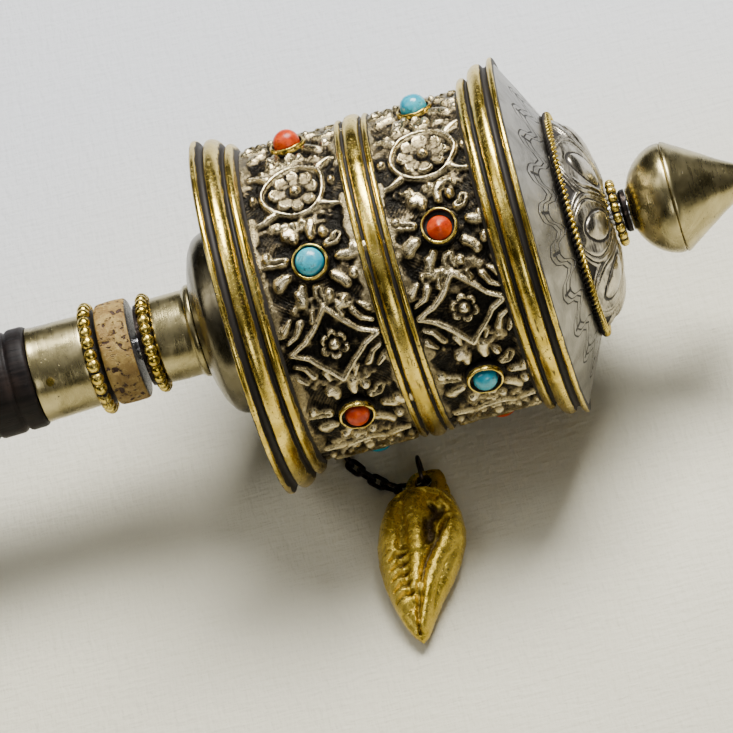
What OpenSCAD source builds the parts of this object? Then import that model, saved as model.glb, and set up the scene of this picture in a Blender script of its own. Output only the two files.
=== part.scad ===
// Hand-held prayer wheel, lying on its drum.
// The spin axis runs along +X from the butt of the handle (origin) to the tip of the finial.
// +Z is up; the floor under the two rims of the drum is at z = -rim_r.

/* [Handle] */
// Distance from the butt to the open edge of the ferrule
handle_len = 115.4; // [95:0.2:130]
// Radius of the wooden grip beside the ferrule
grip_r = 9.4; // [9:0.1:10]
// Radius of the metal butt cap
butt_r = 9; // [8.6:0.1:9.4]
// Length of the straight wall of the butt cap
butt_len = 12; // [8:0.5:16]
// Length of the ferrule
ferrule_len = 10.2; // [8:0.1:12]
// Radius of the ferrule at its open edge
ferrule_r = 8.8; // [8.6:0.1:9]

/* [Spindle and washer] */
// Radius of the steel spindle
spindle_r = 2.2; // [1.8:0.1:2.3]
// Length of the tang of the spindle inside the wood
tang_len = 30; // [20:1:40]
// Radial running clearance of everything that turns on the spindle
run_gap = 0.06; // [0.03:0.01:0.09]
// Radius of the shell washer
washer_r = 9.4; // [8:0.1:10]
// Thickness of the shell washer
washer_t = 6; // [4:0.1:6.4]

/* [Drum] */
// Radius of the two end rims
rim_r = 33; // [33:0.1:34]
// Length of the drum over the edges of its rims
drum_len = 56.4; // [56:0.1:57]
// Outer radius of the embossed wall
wall_r = 28.5; // [28.3:0.1:28.6]
// Thickness of the sheet metal
sheet = 0.7; // [0.5:0.1:0.8]
// Free gap between the shell washer and the neck of the drum
neck_gap = 1; // [0.8:0.1:4]

/* [Stones] */
// Stones in each of the two rows
stones_per_row = 6; // [4:2:8]
// Radius of a stone
stone_r = 2.7; // [2.2:0.1:3]
// Height of a stone above the wall
stone_h = 2.9; // [2:0.1:3.2]
// Wall thickness of the bezel cups
bezel_t = 0.55; // [0.4:0.05:0.7]
// Height of the bezel cups
bezel_h = 1.7; // [1:0.1:2]
// Angle of the first stone, counted from -Y towards +Z
first_stone = 62; // [61:1:63]

/* [Finial] */
// Radius of the knob at its ridge
knob_r = 10.2; // [9:0.1:11]
// Length of the cone of the knob
cone_len = 16.4; // [12:0.2:20]

/* [Chain and shell weight] */
// Wire diameter of the chain links
link_d = 0.8; // [0.7:0.05:0.8]
// Wire diameter of the jump ring
jump_d = 0.7; // [0.6:0.05:0.75]
// Radius of the jump ring at the middle of its wire
jump_r = 2.8; // [2.75:0.01:2.85]
// Length of the shell weight from its hole to its tip
conch_len = 33.6; // [28:0.1:36]
// Greatest width of the shell weight
conch_w = 16.6; // [12:0.1:18]
// Greatest thickness of the shell weight
conch_t = 7.8; // [6:0.1:8]

/* [Hidden] */
// Chain: links lie alternately on edge and flat. A heading is the direction of a link seen
// from above, in degrees from +X, from the eyelet under the drum to the jump ring.
link_headings = [180, 181, 183, 186, 191, 202, 226, 258, 288, 303, 308, 312, 322, 348, 378];

function link_name(i) = str("chain_link_", i < 10 ? "0" : "", i);

$fn = 96;

brass = "#b08a3c";
silver = "#b5ab98";
steel = "#9a9a9c";
dark_steel = "#3a3532";
old_gold = "#b8902f";
wood = "#241a16";
bone = "#b98a5c";
turquoise = "#3fb2c4";
coral = "#d9502c";

// Stations along the axis, from the butt to the tip
bead_x = handle_len + ferrule_len;              // open side of the ferrule's bead ring
bead_w = 2.7;                                   // room for that bead ring
washer_x = bead_x + bead_w + 0.2;
neck_x = washer_x + washer_t + neck_gap;        // face of the drum's neck
neck_len = 10.8;
boss_x = neck_x + neck_len;
boss_len = 7;
drum_x = boss_x + boss_len + 0.4;               // edge of the bottom rim
top_x = drum_x + drum_len;                      // edge of the top rim
lotus_x = top_x + 5.6;                          // seat of the lotus dome
lotus_h = 7.4;
collar_x = lotus_x + lotus_h + 1.9;             // dark collar under the knob
collar_len = 1.2;
bowl_x = collar_x + collar_len - 0.9;
bowl_len = 9.2;
ridge_x = bowl_x + bowl_len;
tip_x = ridge_x + cone_len;

floor_z = -rim_r;
wall_start = drum_x + 1.2;
wall_end = top_x - 1;
band_x = drum_x + 29;                           // middle of the middle band
row_x = [drum_x + 17.3, drum_x + 40.8];         // stone rows
bore_r = spindle_r + run_gap;
eps = 0.01;

link_w = 3.25 * link_d;                         // outer width of a link
link_l = 5.75 * link_d;                         // outer length of a link
link_arc = (link_w - link_d) / 2;               // radius of the end arcs, at the wire's middle
link_half = (link_l - link_w) / 2;              // half the straight length
link_z = floor_z + link_w / 2;
eyelet_at = [band_x, -4, link_z];

// Links lie alternately on edge and flat, starting and ending on edge
function heading(i) = [cos(link_headings[i]), sin(link_headings[i]), 0];
function on_edge(i) = i % 2 == 0;
// Centre of the back arc of link i. A link on edge turns about its own back wire, inside the
// arc of the flat link before it; a flat link turns about the front wire of the link before it.
function link_back(i) =
    i == 0 ? eyelet_at :
    link_back(i - 1) + heading(i - 1) * 2 * link_half
        + heading(on_edge(i) ? i : i - 1) * link_arc;
last_link = len(link_headings) - 1;
jump_low = link_back(last_link) + heading(last_link) * 2 * link_half;
jump_at = jump_low + [0, 0, jump_r];            // centre of the jump ring
conch_hole = jump_at - [0, jump_r, 0];
conch_turn = -100.5;                            // direction of the tip, seen from above

// ---- shared shapes -------------------------------------------------------------------------

// A profile of [radius, x] points turned round the spin axis
module turned(points) {
    rotate([90, 0, 90]) rotate_extrude() polygon(points);
}

// A plain ring from x0 to x1
module ring(r_out, r_in, x0, x1) {
    turned([[r_in, x0], [r_out, x0], [r_out, x1], [r_in, x1]]);
}

// A ring of touching beads on a flat seat, centred on x
module bead_ring(x, r_out, bead_d, r_in, seat_t, count) {
    bead_r = bead_d / 2;
    ring(r_out - bead_r * 0.7, r_in, x - seat_t / 2, x + seat_t / 2);
    difference() {
        for (i = [0:count - 1])
            rotate([i * 360 / count, 0, 0])
                translate([x, 0, r_out - bead_r]) sphere(bead_r, $fn = 24);
        translate([x - bead_d, 0, 0]) rotate([0, 90, 0]) cylinder(r = r_in, h = 2 * bead_d);
    }
}

// Places children on the wall at station x; the angle counts from -Y towards +Z,
// and the children's +Z points away from the axis
module on_wall(x, angle) {
    translate([x, 0, 0]) rotate([90 - angle, 0, 0]) children();
}

// Rows alternate the two kinds of stone; kind is 0 or 1
module stone_places(kind) {
    step = 360 / stones_per_row;
    for (row = [0, 1], i = [0:stones_per_row - 1])
        if ((i + row) % 2 == kind) on_wall(row_x[row], first_stone + i * step) children();
}

// Cuts children back to the outside of the drum wall
module outside_wall() {
    difference() {
        children();
        turned([[0, drum_x], [wall_r, drum_x], [wall_r, top_x], [0, top_x]]);
    }
}

// ---- handle --------------------------------------------------------------------------------

module handle_grip() {
    seat = butt_r - sheet;
    tenon = ferrule_r - sheet - 0.3;
    neck_at = handle_len - 4;
    color(wood) difference() {
        turned([[0, sheet], [seat, sheet], [seat, butt_len + 3], [9.4, butt_len + 3.2],
                [9.6, 18], [9.2, 20.4], [8.6, 21], [9.3, 21.8], [9.5, 26], [9.1, 40], [8.5, 58],
                [8.3, 70], [8.6, 84], [9.2, 97], [grip_r, neck_at - 0.6], [8.8, neck_at],
                [grip_r, neck_at + 0.6], [grip_r, handle_len - 0.6], [grip_r - 0.4, handle_len],
                [tenon, handle_len], [tenon, bead_x - 0.6], [0, bead_x - 0.6]]);
        translate([bead_x - tang_len, 0, 0]) rotate([0, 90, 0])
            cylinder(r = spindle_r, h = tang_len + 1);
    }
}

module butt_cap() {
    color(brass)
        turned([[0, 0], [butt_r - 0.5, 0], [butt_r, 0.5], [butt_r, butt_len + 0.5],
                [butt_r - sheet, butt_len + 0.5], [butt_r - sheet, sheet], [0, sheet]]);
}

module butt_bead_ring() {
    color(brass) bead_ring(butt_len + 1.6, 10.2, 2.2, butt_r - sheet, 2.2, 28);
}

module ferrule() {
    inner = ferrule_r - sheet - 0.3;
    color(silver)
        turned([[inner, handle_len], [ferrule_r, handle_len], [ferrule_r - 0.1, handle_len + 1],
                [ferrule_r - 0.4, bead_x], [spindle_r, bead_x], [spindle_r, bead_x - 0.6],
                [inner, bead_x - 0.6]]);
}

// Two brass pins through the ferrule into the wood
module ferrule_pins() {
    color(brass)
        for (angle = [38, 218]) on_wall(handle_len + 3, angle)
            translate([0, 0, ferrule_r - 0.25]) {
                cylinder(r = 0.75, h = 0.5, $fn = 32);
                translate([0, 0, -sheet - 0.1]) cylinder(r = 0.35, h = 0.8 + eps, $fn = 32);
            }
}

module ferrule_bead_ring() {
    color(brass) bead_ring(bead_x + 1.2, 10.4, 2.7, spindle_r, 2.4, 24);
}

// One steel rod: tang in the wood, running part through the drum, seat for the finial
module spindle() {
    color(steel) translate([bead_x - tang_len, 0, 0]) rotate([0, 90, 0])
        cylinder(r = spindle_r, h = ridge_x - 2 - bead_x + tang_len);
}

// ---- finial --------------------------------------------------------------------------------

// Hidden hexagonal nut soldered inside the bowl, screwed down on the end of the spindle
module finial_nut() {
    color(brass) translate([bowl_x + 3.2, 0, 0]) rotate([0, 90, 0]) difference() {
        cylinder(r = 5, h = 3.6, $fn = 6);
        translate([0, 0, -1]) cylinder(r = spindle_r, h = 6);
    }
}

module finial_collar() {
    color(dark_steel)
        turned([[spindle_r, collar_x], [3.5, collar_x], [3.9, collar_x + 0.5],
                [3.9, collar_x + collar_len], [spindle_r, collar_x + collar_len]]);
}

function bowl_points(r, x0, len) = [for (a = [8:-1:0])
    [r * cos(a * 10), x0 + len * (1 - sin(a * 10))]];

module finial_bowl() {
    wall = sheet + 0.1;
    outer = bowl_points(knob_r, bowl_x, bowl_len);
    inner = bowl_points(knob_r - wall, bowl_x + wall, bowl_len - wall);
    color(silver) difference() {
        turned(concat([[0, outer[0][1]]], outer, [for (i = [8:-1:0]) inner[i]],
                      [[0, inner[0][1]]]));
        translate([bowl_x - 1, 0, 0]) rotate([0, 90, 0]) cylinder(r = 3.9, h = 3);
    }
}

module finial_cone() {
    wall = sheet + 0.1;
    color(silver)
        turned([[knob_r - wall, ridge_x], [knob_r, ridge_x], [knob_r - 0.2, ridge_x + 0.5],
                [0.9, tip_x - 0.9], [0.5, tip_x - 0.2], [0, tip_x],
                [0, tip_x - 3], [knob_r - wall - 0.3, ridge_x + 0.7]]);
}

// ---- washer --------------------------------------------------------------------------------

module shell_washer() {
    edge = 1.1;
    far = washer_x + washer_t;
    color(bone) rotate([90, 0, 90]) rotate_extrude() difference() {
        union() {
            translate([bore_r, washer_x]) square([washer_r - edge - bore_r, washer_t]);
            translate([bore_r, washer_x + edge])
                square([washer_r - bore_r, washer_t - 2 * edge]);
            for (x = [washer_x + edge, far - edge])
                translate([washer_r - edge, x]) circle(edge, $fn = 32);
        }
    }
}

// ---- drum: neck and bottom -------------------------------------------------------------------

module neck_flange() {
    color(dark_steel) ring(7.5, bore_r, neck_x, neck_x + 0.8);
}

module neck_bead_ring() {
    color(brass) bead_ring(neck_x + 1.8, 9.3, 2.3, 7.3, 2, 26);
}

module neck_tube() {
    start = neck_x + 0.8;
    color(silver)
        turned([[7.2, start], [7.3, start], [7.3, neck_x + 3], [7.9, neck_x + 3.1],
                [7.9, boss_x - 1.2], [8.6, boss_x - 1], [8.6, boss_x], [6.6, boss_x],
                [6.6, neck_x + 3], [6.6, start]]);
}

module base_boss() {
    end = boss_x + boss_len;
    color(silver)
        turned([[7.8, boss_x], [11, boss_x + 0.4], [14, boss_x + 1.4], [16, boss_x + 2.8],
                [16.8, boss_x + 4.2], [17, end - 0.9], [17.4, end - 0.2], [16.2, end - 0.2],
                [16.2, end - 1], [15.9, boss_x + 4.3], [15.2, boss_x + 3.3],
                [13.5, boss_x + 2], [10.8, boss_x + 1.1], [7.8, boss_x + 0.7]]);
}

module bottom_plate() {
    color(silver)
        turned([[bore_r + 1, drum_x - 0.6], [17.4, drum_x - 0.6], [rim_r - 0.8, drum_x + 0.4],
                [rim_r - 0.8, drum_x + 1.1], [17.4, drum_x + 0.1], [bore_r + 1, drum_x + 0.1]]);
}

// ---- drum: bands and wall --------------------------------------------------------------------

// Outline of an end rim from its edge inwards: [radius, distance from the edge].
// A narrow lip, a wide middle moulding and a narrow inner moulding, with grooves between.
rim_outline = [[rim_r - 0.5, 0], [rim_r, 0.5], [rim_r, 1.4], [rim_r - 0.9, 1.9],
               [rim_r - 0.7, 2.3], [rim_r - 0.6, 3.4], [rim_r - 1.5, 5.2], [rim_r - 2.5, 5.6],
               [rim_r - 2.4, 6], [rim_r - 2.7, 7.3], [wall_r + 0.9, 7.8], [wall_r + 0.1, 8.2]];

module end_rim(edge_x, way) {
    outer = [for (p = rim_outline) [p[0], edge_x + way * p[1]]];
    inner = [for (i = [len(outer) - 1:-1:0])
        [max(outer[i][0] - sheet, wall_r), outer[i][1]]];
    turned(concat(outer, inner));
}

module bottom_rim() {
    color(brass) end_rim(drum_x, 1);
}

module top_rim() {
    color(brass) end_rim(top_x, -1);
}

module drum_wall() {
    color(silver) ring(wall_r, wall_r - sheet, wall_start, wall_end);
}

module middle_band() {
    color(brass)
        turned([[wall_r, band_x - 3.1], [29.2, band_x - 3.1], [29.5, band_x - 2.6],
                [29.3, band_x - 2], [29, band_x - 1.7], [29.7, band_x - 1.3], [30, band_x],
                [29.7, band_x + 1.3], [29, band_x + 1.7], [29.3, band_x + 2],
                [29.5, band_x + 2.6], [29.2, band_x + 3.1], [wall_r, band_x + 3.1]]);
}

// ---- drum: top -------------------------------------------------------------------------------

plate_r = 20.2;

module top_plate() {
    seat = rim_r - 0.8;
    color(silver)
        turned([[bore_r + 1, lotus_x - 0.8], [plate_r, lotus_x - 0.8], [seat, top_x - 1.2],
                [seat, top_x - 0.4], [plate_r, lotus_x], [bore_r + 1, lotus_x]]);
}

function dome_points(r, x0, h) = [for (a = [0:10:80])
    [4.6 + (r - 4.6) * cos(a), x0 + h * sin(a)]];

module lotus_dome() {
    outer = dome_points(19.2, lotus_x, lotus_h);
    inner = dome_points(19.2 - sheet, lotus_x, lotus_h - sheet);
    color(silver)
        turned(concat(outer, [[4, lotus_x + lotus_h], [4, lotus_x + lotus_h - sheet]],
                      [for (i = [len(inner) - 1:-1:0]) inner[i]]));
}

// Twisted wire round the foot of the dome
module lotus_rope_ring() {
    color(brass) rotate([90, 0, 90]) rotate_extrude()
        translate([20.1, lotus_x + 0.8]) circle(0.75, $fn = 24);
}

module top_bead_ring() {
    color(brass) bead_ring(lotus_x + lotus_h + 1, 6.2, 1.8, 4, 1.6, 18);
}

// ---- inside the drum -------------------------------------------------------------------------

tube_r = 3.4;

module centre_tube() {
    color("#9c6b45") ring(tube_r, bore_r + 0.5, drum_x + 0.1, lotus_x - 0.8);
}

module lower_bush() {
    color(brass) ring(6.6, bore_r, neck_x + 0.8, boss_x - 0.5);
}

module upper_bush() {
    color(brass) ring(7, bore_r, lotus_x, lotus_x + 4.6);
}

scroll_r = 21;

module mantra_scroll() {
    color("#e6dcc0") ring(scroll_r, tube_r, drum_x + 4, top_x - 4);
}

module scroll_cloth() {
    color("#c8a22c") ring(scroll_r + 1.6, scroll_r, drum_x + 3.4, top_x - 3.4);
}

// ---- stones ----------------------------------------------------------------------------------

module bezel_cup() {
    difference() {
        cylinder(r = stone_r + bezel_t, h = wall_r + bezel_h);
        translate([0, 0, -1]) cylinder(r = stone_r + 0.03, h = wall_r + bezel_h + 2);
    }
}

module stone() {
    cap_r = (stone_r * stone_r + 1.7 * 1.7) / (2 * 1.7);
    top = wall_r + stone_h;
    intersection() {
        cylinder(r = stone_r, h = top);
        translate([0, 0, top - cap_r]) sphere(cap_r);
    }
    cylinder(r = stone_r, h = top - 1.7);
}

module stone_bezels() {
    color(brass) for (kind = [0, 1]) outside_wall() stone_places(kind) bezel_cup();
}

module turquoise_stones() {
    color(turquoise) outside_wall() stone_places(0) stone();
}

module coral_stones() {
    color(coral) outside_wall() stone_places(1) stone();
}

// ---- chain and weight ------------------------------------------------------------------------

// Half loop of wire soldered on the middle band, open along the axis
module chain_eyelet() {
    loop_r = 1.45;
    lean = atan2(-eyelet_at[1], -eyelet_at[2]);
    reach = norm([eyelet_at[1], eyelet_at[2]]) - loop_r;
    color(dark_steel) translate([band_x, 0, 0]) rotate([-lean, 0, 0]) {
        translate([0, 0, -reach]) rotate([0, 90, 0]) rotate([0, 0, -90])
            rotate_extrude(angle = 180) translate([loop_r, 0]) circle(link_d / 2, $fn = 24);
        for (side = [-1, 1]) translate([0, side * loop_r, -reach])
            cylinder(r = link_d / 2, h = reach - 29.8, $fn = 24);
    }
}

// A link along X in the XY plane, with the centre of its back arc at the origin
module chain_link() {
    wire = link_d / 2;
    for (end = [0, 1]) translate([end * 2 * link_half, 0, 0]) rotate([0, 0, 90 + 180 * end])
        rotate_extrude(angle = 180) translate([link_arc, 0]) circle(wire, $fn = 24);
    for (side = [-1, 1]) translate([0, side * link_arc, 0]) rotate([0, 90, 0])
        cylinder(r = wire, h = 2 * link_half, $fn = 24);
}

module placed_link(i) {
    color(dark_steel) translate(link_back(i)) rotate([0, 0, link_headings[i]])
        rotate([on_edge(i) ? 90 : 0, 0, 0]) chain_link();
}

module jump_ring() {
    color(dark_steel) translate(jump_at) rotate([0, 90, 0])
        rotate_extrude() translate([jump_r, 0]) circle(jump_d / 2, $fn = 24);
}

// Cast conch shell: rings of points from the shoulder, beside the loop, to the tip
conch_rings = 16;
conch_sides = 24;
conch_start = 3.2;                              // from the hole to the shoulder
function conch_s(i) = i / (conch_rings - 1);
function conch_half_w(s) = conch_w / 2 * pow(sin(180 * pow(0.02 + 0.975 * s, 0.62)), 0.8);
function conch_half_t(s) = conch_t / 2 * pow(sin(180 * pow(0.03 + 0.962 * s, 0.55)), 0.7);
function conch_mid_z(s) = floor_z + 0.05 + conch_half_t(s) * 0.9 + conch_t / 2 * 0.1
    + 0.9 * pow(1 - s, 2);
function conch_ring(i) = let (s = conch_s(i), w = conch_half_w(s), t = conch_half_t(s))
    [for (k = [0:conch_sides - 1]) let (a = k * 360 / conch_sides)
        [conch_start + s * (conch_len - conch_start), w * cos(a), conch_mid_z(s) + t * sin(a)]];

module conch_body() {
    last = conch_rings - 1;
    n = conch_sides;
    points = [for (i = [0:last]) each conch_ring(i)];
    corner = [for (i = [0:last - 1], k = [0:n - 1])
        [i * n + k, i * n + (k + 1) % n, (i + 1) * n + (k + 1) % n, (i + 1) * n + k]];
    sides = [for (c = corner) each [[c[0], c[2], c[1]], [c[0], c[3], c[2]]]];
    polyhedron(points, concat([[for (k = [0:n - 1]) k]], sides,
                              [[for (k = [n - 1:-1:0]) last * n + k]]));
}

module conch_weight() {
    tab_r = 2.75;
    tab_t = 1.2;
    color(old_gold) translate([conch_hole[0], conch_hole[1], 0]) rotate([0, 0, conch_turn])
        difference() {
            union() {
                conch_body();
                translate([0, 0, conch_hole[2] - tab_t / 2]) linear_extrude(tab_t) {
                    circle(tab_r, $fn = 48);
                    polygon([[0, -tab_r], [0, tab_r], [5.4, 3.6], [5.4, -3.6]]);
                }
            }
            translate([0, 0, conch_hole[2] - 5]) cylinder(r = 1.45, h = 10, $fn = 48);
        }
}

handle_grip();
butt_cap();
butt_bead_ring();
ferrule();
ferrule_pins();
ferrule_bead_ring();
spindle();
finial_nut();
finial_collar();
finial_bowl();
finial_cone();
shell_washer();
neck_flange();
neck_bead_ring();
neck_tube();
base_boss();
bottom_plate();
bottom_rim();
drum_wall();
middle_band();
top_rim();
top_plate();
lotus_dome();
lotus_rope_ring();
top_bead_ring();
centre_tube();
lower_bush();
upper_bush();
mantra_scroll();
scroll_cloth();
stone_bezels();
turquoise_stones();
coral_stones();
chain_eyelet();
for (i = [1:len(link_headings)])
    placed_link(i - 1);
jump_ring();
conch_weight();
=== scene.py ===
import itertools
import math

import bmesh
import bpy
import numpy as np
from mathutils import Matrix, Vector


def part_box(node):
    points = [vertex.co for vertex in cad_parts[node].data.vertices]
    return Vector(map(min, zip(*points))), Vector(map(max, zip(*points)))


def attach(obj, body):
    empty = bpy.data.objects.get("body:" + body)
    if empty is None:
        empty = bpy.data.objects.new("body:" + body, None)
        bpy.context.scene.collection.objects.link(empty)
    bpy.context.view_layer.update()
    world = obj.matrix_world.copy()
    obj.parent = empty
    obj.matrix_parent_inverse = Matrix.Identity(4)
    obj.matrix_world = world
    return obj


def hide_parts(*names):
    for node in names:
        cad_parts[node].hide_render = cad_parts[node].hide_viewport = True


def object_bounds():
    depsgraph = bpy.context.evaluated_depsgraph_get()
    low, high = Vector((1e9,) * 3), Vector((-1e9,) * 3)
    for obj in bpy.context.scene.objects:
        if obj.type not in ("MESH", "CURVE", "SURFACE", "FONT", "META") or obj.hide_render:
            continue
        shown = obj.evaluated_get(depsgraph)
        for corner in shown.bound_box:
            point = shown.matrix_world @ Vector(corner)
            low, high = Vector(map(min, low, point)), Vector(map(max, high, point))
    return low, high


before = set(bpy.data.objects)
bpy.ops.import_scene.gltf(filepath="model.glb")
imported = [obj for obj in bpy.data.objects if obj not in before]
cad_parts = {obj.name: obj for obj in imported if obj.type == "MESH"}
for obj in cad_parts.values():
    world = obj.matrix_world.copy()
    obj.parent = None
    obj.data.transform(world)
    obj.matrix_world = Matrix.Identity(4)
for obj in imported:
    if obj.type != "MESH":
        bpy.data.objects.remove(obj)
cad_box = [list(corner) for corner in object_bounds()]
mm = 0.001
tau = 2 * math.pi


# ---- Camera ----------------------------------------------------------------------------
# The wheel is seen from the side where its chain lies, from halfway up, with a long lens,
# and with the finial rising towards the right.
band_low, band_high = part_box("middle_band")
band_x = (band_low[0] + band_high[0]) / 2
elevation, azimuth, roll = (math.radians(a) for a in (50.4, 7.4, 21.3))
sight = Vector((math.sin(azimuth) * math.cos(elevation),
                -math.cos(azimuth) * math.cos(elevation), math.sin(elevation)))
level = Vector((math.cos(azimuth), math.sin(azimuth), 0))
upward = sight.cross(level)
right = level * math.cos(roll) - upward * math.sin(roll)
up = level * math.sin(roll) + upward * math.cos(roll)
aim = Vector((band_x - 5.4 * mm, 0, 0)) - up * 15 * mm
camera = bpy.data.objects.new("camera", bpy.data.cameras.new("camera"))
camera.data.lens, camera.data.sensor_width = 273, 36
camera.data.clip_start, camera.data.clip_end = 0.01, 20
camera.matrix_world = Matrix.Translation(aim + sight * 1.0) @ Matrix(
    (right, up, sight)).transposed().to_4x4()
bpy.context.scene.collection.objects.link(camera)
bpy.context.scene.camera = camera


# ---- Floor and light -------------------------------------------------------------------
# A plain pale floor under the two rims, and soft light from a large box overhead, a strip
# at the left, and a low fill at the right.
class Wire:
    """One output socket of a node tree. Sums and products of wires add Math nodes."""

    def __init__(self, tree, socket=None):
        self.tree, self.socket = tree, socket

    def node(self, kind, sockets=None, out=0, **settings):
        """Adds a node: first its settings, then the values or links of its sockets."""
        made = self.tree.nodes.new("ShaderNode" + kind)
        for stop, (at, colour) in enumerate(settings.pop("stops", ())):
            elements = made.color_ramp.elements
            element = elements[stop] if stop < 2 else elements.new(at)
            element.position, element.color = at, colour
        for key, value in settings.items():
            setattr(made, key, value)
        for key, value in (sockets or {}).items():
            if isinstance(value, Wire):
                self.tree.links.new(value.socket, made.inputs[key])
            else:
                made.inputs[key].default_value = value
        return Wire(self.tree, made.outputs[out])

    def math(self, operation, *others):
        return self.node("Math", dict(enumerate((self,) + others)), operation=operation)

    def __add__(self, other):
        return self.math("ADD", other)

    def __sub__(self, other):
        return self.math("SUBTRACT", other)

    def __rsub__(self, other):
        return (self * -1).math("ADD", other)

    def __mul__(self, other):
        return self.math("MULTIPLY", other)

    def __abs__(self):
        return self.math("ABSOLUTE")

    __radd__, __rmul__ = __add__, __mul__

    def step(self, low, high):
        """0 below low and 1 above high, smooth between; low may be the higher one."""
        if low > high:
            return 1 - self.step(high, low)
        return self.node("MapRange", {0: self, 1: low, 2: high, 3: 0.0, 4: 1.0},
                         interpolation_type="SMOOTHSTEP")

    def mix(self, a, b):
        """Colour a where this is 0 and colour b where it is 1."""
        return self.node("Mix", {0: self, 6: a, 7: b}, out=2, data_type="RGBA")

    def place(self, stretch=(1, 1, 1)):
        spot = self.node("TexCoord", out=3)
        return self.node("VectorMath", {0: spot, 1: stretch}, operation="MULTIPLY")

    def noise(self, size, detail=3, rough=0.55, stretch=(1, 1, 1), warp=0.0):
        """Smooth noise from about 0.25 to 0.75, with lumps of that size in metres."""
        return self.node("TexNoise", {"Vector": self.place(stretch), "Scale": 1 / size,
                                      "Detail": detail, "Roughness": rough,
                                      "Distortion": warp})

    def mark(self, name):
        return self.node("Attribute", out=2, attribute_name=name)

    def bump(self, height, depth, strength=1.0):
        return self.node("Bump", {"Height": height, "Strength": strength,
                                  "Distance": depth})


def material(name, paint, **fixed):
    """A Principled material. Fixed values go on its sockets; paint links what varies."""
    made = bpy.data.materials.new(name)
    made.use_nodes = True
    shader = made.node_tree.nodes["Principled BSDF"]
    for socket, value in fixed.items():
        shader.inputs[socket.replace("_", " ")].default_value = value
    for socket, wire in paint(Wire(made.node_tree)).items():
        made.node_tree.links.new(wire.socket, shader.inputs[socket])
    return made


def floor_paint(w):
    soft = w.noise(0.09, detail=2)
    weave = w.noise(0.0011, detail=2, stretch=(1, 0.25, 1)) + w.noise(
        0.0011, detail=2, stretch=(0.25, 1, 1))
    near = soft.mix((0.64, 0.61, 0.46, 1), (0.74, 0.71, 0.57, 1))
    depth = w.node("SeparateXYZ", {0: w.place()}, out=1)
    return {"Base Color": (depth + soft * 0.04).step(0.0, 0.12).mix(
                near, (0.61, 0.63, 0.66, 1)),
            "Normal": w.bump(weave, 0.0004, 0.8)}


floor_z = cad_box[0][2] - 0.02 * mm
bpy.ops.mesh.primitive_plane_add(size=6, location=(band_x, 0, floor_z))
floor = bpy.context.object
floor.name = "floor"
floor.data.materials.append(material("pale_floor", floor_paint, Roughness=0.9))

world = bpy.data.worlds.new("studio")
bpy.context.scene.world = world
world.use_nodes = True
sky = Wire(world.node_tree)
rise = sky.node("SeparateXYZ", {0: sky.node("TexCoord", out=0)}, out=2)
glow = sky.node("ValToRGB", {0: rise}, stops=(
    (0.0, (0.02, 0.018, 0.015, 1)), (0.5, (0.05, 0.047, 0.04, 1)),
    (0.66, (0.16, 0.155, 0.15, 1)), (1.0, (0.95, 0.95, 0.97, 1))))
background = world.node_tree.nodes["Background"]
world.node_tree.links.new(glow.socket, background.inputs[0])
background.inputs[1].default_value = 0.42


def softbox(name, spot, size, power, tint=(1, 1, 1)):
    """A rectangular light that faces the drum from the given place."""
    lamp = bpy.data.lights.new(name, "AREA")
    lamp.shape, lamp.size, lamp.size_y = "RECTANGLE", size[0], size[1]
    lamp.energy, lamp.color = power, tint
    made = bpy.data.objects.new(name, lamp)
    centre = Vector((band_x, 0, 0))
    made.location = centre + Vector(spot)
    made.rotation_euler = (centre - made.location).to_track_quat("-Z", "Y").to_euler()
    bpy.context.scene.collection.objects.link(made)


softbox("overhead", (0.20, 0.34, 0.68), (0.5, 0.35), 17.5, (1, 0.985, 0.96))
softbox("left_strip", (-0.62, 0.05, 0.75), (0.3, 0.8), 2.2, (1, 0.97, 0.92))
softbox("front_fill", (0.25, -0.8, 0.45), (0.5, 0.3), 1.6, (1, 0.98, 0.95))


# ---- Handle grip -----------------------------------------------------------------------
# The grip is turned from one piece of dark, close-grained wood, waxed and handled until
# its ridges shine. Its thin ends go inside the butt cap and the ferrule.
def grain(points, size, seed):
    """Smooth noise from -1 to 1 at an array of points, with lumps of the given size."""
    spots = points / size + seed * 7.31
    cells = np.floor(spots).astype(np.int64)
    near = spots - cells
    near = near * near * (3 - 2 * near)
    total = 0
    for corner in itertools.product((0, 1), repeat=3):
        c = cells + corner
        key = c[..., 0] * 73856093 ^ c[..., 1] * 19349663 ^ c[..., 2] * 83492791
        key = (key + seed * 374761) * 1103515245 & 0x7FFFFFFF
        key = (key ^ key >> 13) * 668265263 & 0x7FFFFFFF
        weight = np.prod(np.where(corner, near, 1 - near), axis=-1)
        total = total + weight * ((key >> 7 & 0xFFFF) / 32767.5 - 1)
    return total


def spun(x, angle, radius):
    """Points at stations x on the spin axis; angles run from -Y towards +Z."""
    return np.stack(np.broadcast_arrays(x, -radius * np.cos(angle),
                                        radius * np.sin(angle)), axis=-1)


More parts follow.
